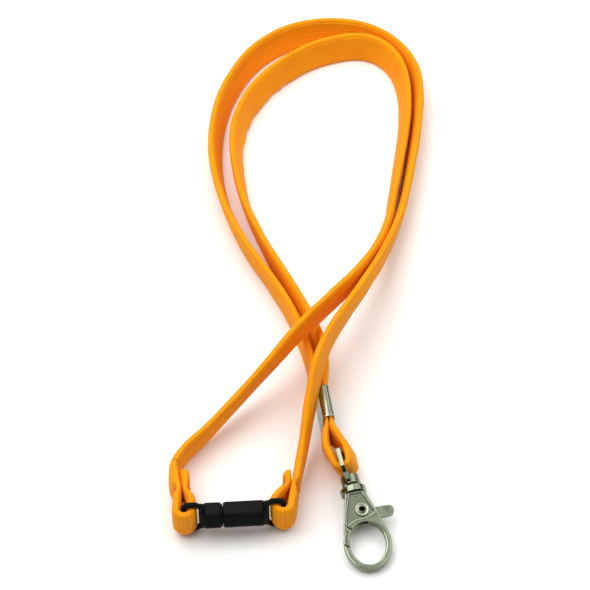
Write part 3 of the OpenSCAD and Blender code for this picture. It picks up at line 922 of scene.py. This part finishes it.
def make_crimp():
    ends = [0.9, 0.95, 0.985, 1.0]
    stations = [-t for t in reversed(ends)] + [k / 20 for k in range(-17, 18)] + ends
    rings = []
    for t in stations:
        # Both rims are rounded off a little
        trim = 0.12 if abs(t) > 0.99 else 0.0
        rings.append([(x * (1 - trim * 0.3), t * CRIMP_HALF, z * (1 - trim * 0.1))
                      for x, z in crimp_section(t)])
    crimp = new_piece("crimp_clamp_sheet", ring_stack(rings), AT_CRIMP, SHEET, 50.0)
    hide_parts("crimp_clamp")
    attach(crimp, "strap")


# ---- Cast parts of the hook ----
POCKET = [(-2.0, POCKET_TOP), (2.0, POCKET_TOP), (4.9, -10.2), (3.2, -10.9), (1.2, -11.35),
          (-1.6, -11.5), (-4.2, -12.4), (-5.3, -13.0), (-4.6, -9.5)]
DISC_RADIUS = 2.75
# The groove below the eye's boss, as (radius, along)
GROOVE = [(2.0, 0.2), (4.5, 0.2), (4.5, 1.3), (2.0, 1.3)]


def apply_modifiers(piece):
    """The piece becomes what its modifiers make of it."""
    graph = bpy.context.evaluated_depsgraph_get()
    graph.update()
    done = bpy.data.meshes.new_from_object(piece.evaluated_get(graph))
    piece.modifiers.clear()
    piece.vertex_groups.clear()
    piece.data = done
    return done


def welded_copy(name, source):
    """A copy of a node's mesh with its doubled points joined."""
    bm = bmesh.new()
    bm.from_mesh(source.data)
    bmesh.ops.remove_doubles(bm, verts=bm.verts, dist=1e-7)
    mesh = bpy.data.meshes.new(name)
    bm.to_mesh(mesh)
    bm.free()
    return add_object(name, mesh)


def add_boolean(piece, operation, shape):
    tool = new_piece(piece.name + "_tool", shape, AT_HOOK, NICKEL)
    cut = piece.modifiers.new("cut", "BOOLEAN")
    cut.operation = operation
    cut.solver = "EXACT"
    cut.object = tool
    return tool


def round_wire(piece):
    """Smooths the snap ring until its wire is round, fading out above where it starts."""
    back = AT_HOOK.inverted()
    group = piece.vertex_groups.new(name="wire")
    for v in piece.data.vertices:
        weight = (WIRE_TOP - (back @ (v.co / MM)).y) / 2
        if weight > 0:
            group.add([v.index], min(1.0, weight), "REPLACE")
    soften = piece.modifiers.new("round", "SMOOTH")
    soften.vertex_group = "wire"
    soften.iterations = 55
    return apply_modifiers(piece)


def paint(mesh, material, test):
    """A second material on the faces whose middle, in the hook's frame, passes the test."""
    mesh.materials.append(material)
    back = AT_HOOK.inverted()
    for face in mesh.polygons:
        if test(back @ (face.center / MM)):
            face.material_index = 1


def cast(name, node, body, voxel=0.13, cutters=(), extras=(), wire=False, pocket_shade_test=None):
    """The node's own shape, with extra bosses and pockets, its edges softened like a casting."""
    piece = welded_copy(name, frame["nodes"][node])
    tools = [add_boolean(piece, "DIFFERENCE", shape) for shape in cutters]
    tools += [add_boolean(piece, "UNION", shape) for shape in extras]
    skin = piece.modifiers.new("skin", "REMESH")
    skin.mode = "VOXEL"
    skin.voxel_size = voxel * MM
    skin.use_smooth_shade = True
    polish = piece.modifiers.new("polish", "SMOOTH")
    polish.factor = 0.5
    polish.iterations = 6
    done = apply_modifiers(piece)
    done.name = name
    if wire:
        done = round_wire(piece)
    done.materials.clear()
    done.materials.append(NICKEL)
    if pocket_shade_test:
        # The pocket faces take the darker nickel, painted shade
        paint(done, RECESS_PAINTED_SHADE, pocket_shade_test)
    for tool in tools:
        bpy.data.objects.remove(tool)
    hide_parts(node)
    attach(piece, body)


def pocket_cutter(side):
    """Cuts a pocket in one face, with a floor that follows the body's taper."""
    low = [(x, y, side * (POCKET_FLOOR + POCKET_TAPER * (y - POCKET_TOP))) for x, y in POCKET]
    high = [(x, y, side * 4.0) for x, y in POCKET]
    return ring_stack([low, high])


def swivel_disc(low, high):
    """A flat disc over the middle of the flange's face, half of it reaching out of the face."""
    return lathe([(0.01, low), (DISC_RADIUS, low), (DISC_RADIUS, high), (0.01, high)], 48)


def in_pocket(p):
    down = p.y - POCKET_TOP
    return (-12.2 < p.y < -2.8 and abs(p.x + 0.1) < 1.9 - 0.36 * down
            and 1.1 < abs(p.z) < 2.55 + POCKET_TAPER * down)


def make_hook():
    cast("hook_body_cast", "hook_body", "hook", cutters=[pocket_cutter(-1), pocket_cutter(1)],
         extras=[swivel_disc(1.2, 1.95), swivel_disc(-1.95, -1.2)], wire=True, pocket_shade_test=in_pocket)
    cast("gate_lever_cast", "gate_lever", "gate", voxel=0.11, wire=True)
    cast("swivel_eye_cast", "swivel_eye", "eye", voxel=0.11, cutters=[lathe(GROOVE, 48, "y")])


# ---- Tubular rivet and spring ----
# (radius, height) of the rolled end, from the bore over the lip to the shank
ROLLED_END = [(1.03, 2.2), (1.14, 2.34), (1.28, 2.3), (1.42, 2.12), (1.6, 2.03), (1.8, 2.07),
              (2.0, 2.2), (2.16, 2.22), (2.28, 2.1), (2.28, 1.97), (1.42, 1.93)]
RIVET_BORE = [(0.98, -1.9), (0.98, 1.9)]


def in_bore(p):
    spot = p - RIVET_PLACE
    return math.hypot(spot.x, spot.y) < 1.0 and abs(spot.z) < 2.0


def make_rivet():
    profile = RIVET_BORE + ROLLED_END + [(r, -z) for r, z in reversed(ROLLED_END)]
    rivet = new_piece("gate_rivet_tube", lathe(profile), AT_HOOK @ Matrix.Translation(RIVET_PLACE),
                      RIVET, 60.0)
    # The bore's faces take the near-black painted shade
    paint(rivet.data, BORE_PAINTED_SHADE, in_bore)
    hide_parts("gate_rivet")
    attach(rivet, "hook")


def finish_spring():
    """The spring keeps its CAD shape and only takes its look."""
    for slot in frame["nodes"]["gate_spring"].material_slots:
        slot.material = STEEL


# ---------------------------------------------------------------- build
make_runs()
make_loops()
make_plug()
make_socket()
stitches("bartack_plug_thread", "bartack_plug", "plug", -42.8, -38.0, -101.0)
stitches("bartack_socket_thread", "bartack_socket", "strap", -6.9, -2.1, -99.4)
make_crimp()
make_hook()
make_rivet()
finish_spring()
